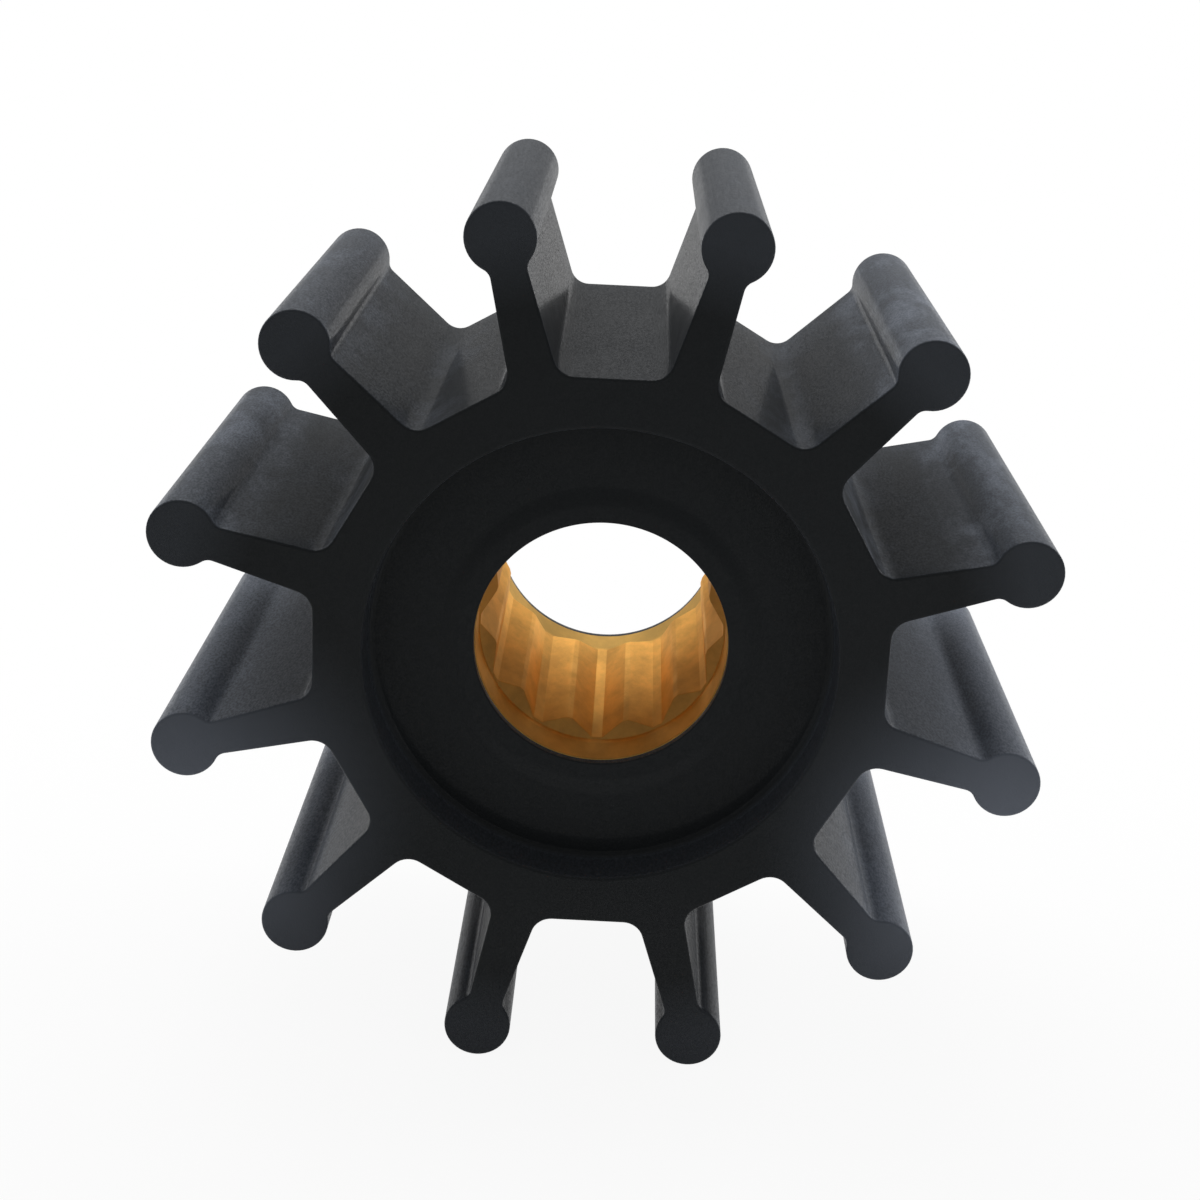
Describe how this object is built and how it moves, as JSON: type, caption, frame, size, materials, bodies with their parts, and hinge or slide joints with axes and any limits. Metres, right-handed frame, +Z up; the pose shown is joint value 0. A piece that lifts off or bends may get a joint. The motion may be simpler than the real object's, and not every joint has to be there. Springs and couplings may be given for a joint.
{
  "type": "rubber pump impeller",
  "caption": "Flexible rubber vane impeller with round-tipped vanes, recessed end faces and a bonded brass insert with a splined bore, for a raw-water pump.",
  "frame": {"origin": "on the shaft axis at half the width, which is the centre of the bounding box", "axes": "Y is the shaft axis, with the front face towards -Y. +Z is up with the impeller standing on two neighbouring vanes"},
  "size_m": [0.0922, 0.0508, 0.0922],
  "materials": {
    "black_rubber": "moulded matt black rubber with a soft sheen and grey bloom",
    "brass": "broached and turned brass, satin, slightly tarnished"
  },
  "bodies": {
    "root": {"vaned_rubber_body": "black_rubber", "splined_brass_insert": "brass"}
  },
  "joints": []
}
